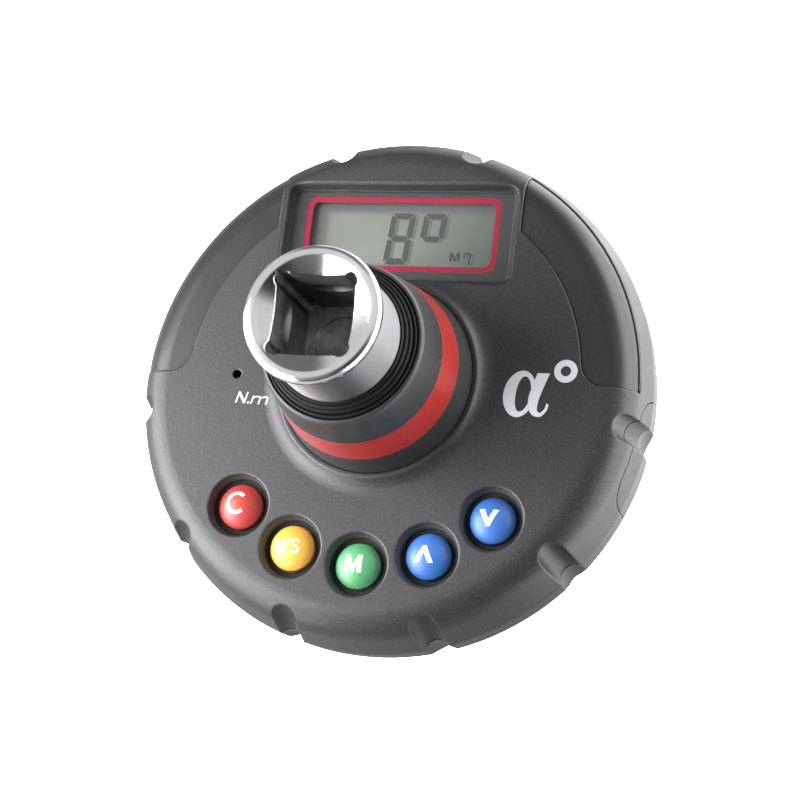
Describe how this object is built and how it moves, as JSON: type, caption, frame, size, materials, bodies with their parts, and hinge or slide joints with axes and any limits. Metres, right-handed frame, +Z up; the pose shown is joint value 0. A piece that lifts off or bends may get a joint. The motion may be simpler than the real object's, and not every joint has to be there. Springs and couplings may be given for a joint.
{
  "type": "torque angle gauge",
  "caption": "Round electronic torque and angle adapter with a square drive through its axis, display, coloured keys and side battery drawer, used between a wrench and a socket.",
  "frame": {"origin": "on the drive axis, in the flat end of the male square", "axes": "+Z up along the drive axis, display face and female square up; +Y toward the top edge of the display; +X to the reader's right"},
  "size_m": [0.0906, 0.0906, 0.0864],
  "materials": {
    "shell": "fine spark-eroded grain, dark grey",
    "collar": "smooth satin dark grey",
    "red_band": "smooth gloss red",
    "seal": "matt black",
    "chrome": "bright satin chrome plate",
    "bronze": "turned sintered bronze",
    "steel": "plain bright steel",
    "gauge_foil": "amber polyimide film",
    "board": "green solder mask",
    "lcd": "grey green reflective liquid crystal",
    "window": "clear acrylic, printed border on the underside",
    "lamp": "smoked translucent gloss",
    "led": "clear epoxy over a white body",
    "inner_plastic": "plain black moulding",
    "key_red": "satin red with white print",
    "key_yellow": "satin yellow with white print",
    "key_green": "satin green with white print",
    "key_blue": "satin blue with white print",
    "contact": "nickel flashed spring brass",
    "cell": "plain shrink sleeve"
  },
  "bodies": {
    "housing": {"front_shell": "shell", "rear_shell": "shell", "hub_collar": "collar", "red_band": "red_band", "front_seal": "seal", "drive_shaft": "chrome", "front_bush": "bronze", "rear_bush": "bronze", "rear_seal": "seal", "retaining_ring": "steel", "shaft_key": "steel", "strain_gauges": "gauge_foil", "gauge_flex": "gauge_foil", "main_board": "board", "lcd_panel": "lcd", "lcd_holder": "inner_plastic", "lcd_connectors": "seal", "display_window": "window", "light_window_left": "lamp", "light_window_right": "lamp", "warning_leds": "led", "buzzer": "inner_plastic", "controller_chip": "inner_plastic", "gyro_sensor": "inner_plastic", "key_switches": "steel", "battery_bay": "inner_plastic", "cell_contact": "contact", "housing_screws": "steel", "board_screws": "steel", "collar_screws": "steel", "detent_spring": "steel"},
    "clear_key": {"clear_button": "key_red"},
    "unit_key": {"unit_button": "key_yellow"},
    "memory_key": {"memory_button": "key_green"},
    "up_key": {"up_button": "key_blue"},
    "down_key": {"down_button": "key_blue"},
    "drawer": {"battery_drawer": "shell", "drawer_contact": "contact", "battery_cell": "cell"},
    "detent": {"detent_ball": "steel"}
  },
  "joints": [
    {"name": "clear_press", "type": "slide", "parent": "housing", "child": "clear_key", "axis": [0, 0, -1], "range_m": [0, 0.0006], "stiffness_N_per_m": 1500},
    {"name": "unit_press", "type": "slide", "parent": "housing", "child": "unit_key", "axis": [0, 0, -1], "range_m": [0, 0.0006], "stiffness_N_per_m": 1500},
    {"name": "memory_press", "type": "slide", "parent": "housing", "child": "memory_key", "axis": [0, 0, -1], "range_m": [0, 0.0006], "stiffness_N_per_m": 1500},
    {"name": "up_press", "type": "slide", "parent": "housing", "child": "up_key", "axis": [0, 0, -1], "range_m": [0, 0.0006], "stiffness_N_per_m": 1500},
    {"name": "down_press", "type": "slide", "parent": "housing", "child": "down_key", "axis": [0, 0, -1], "range_m": [0, 0.0006], "stiffness_N_per_m": 1500},
    {"name": "drawer_pull", "type": "slide", "parent": "housing", "child": "drawer", "axis": [0.9781, -0.2079, 0], "range_m": [0, 0.03]},
    {"name": "ball_press", "type": "slide", "parent": "housing", "child": "detent", "axis": [0, 1, 0], "range_m": [0, 0.0009], "stiffness_N_per_m": 4000, "springref_m": -0.0005, "deforming": ["detent_spring"]}
  ]
}
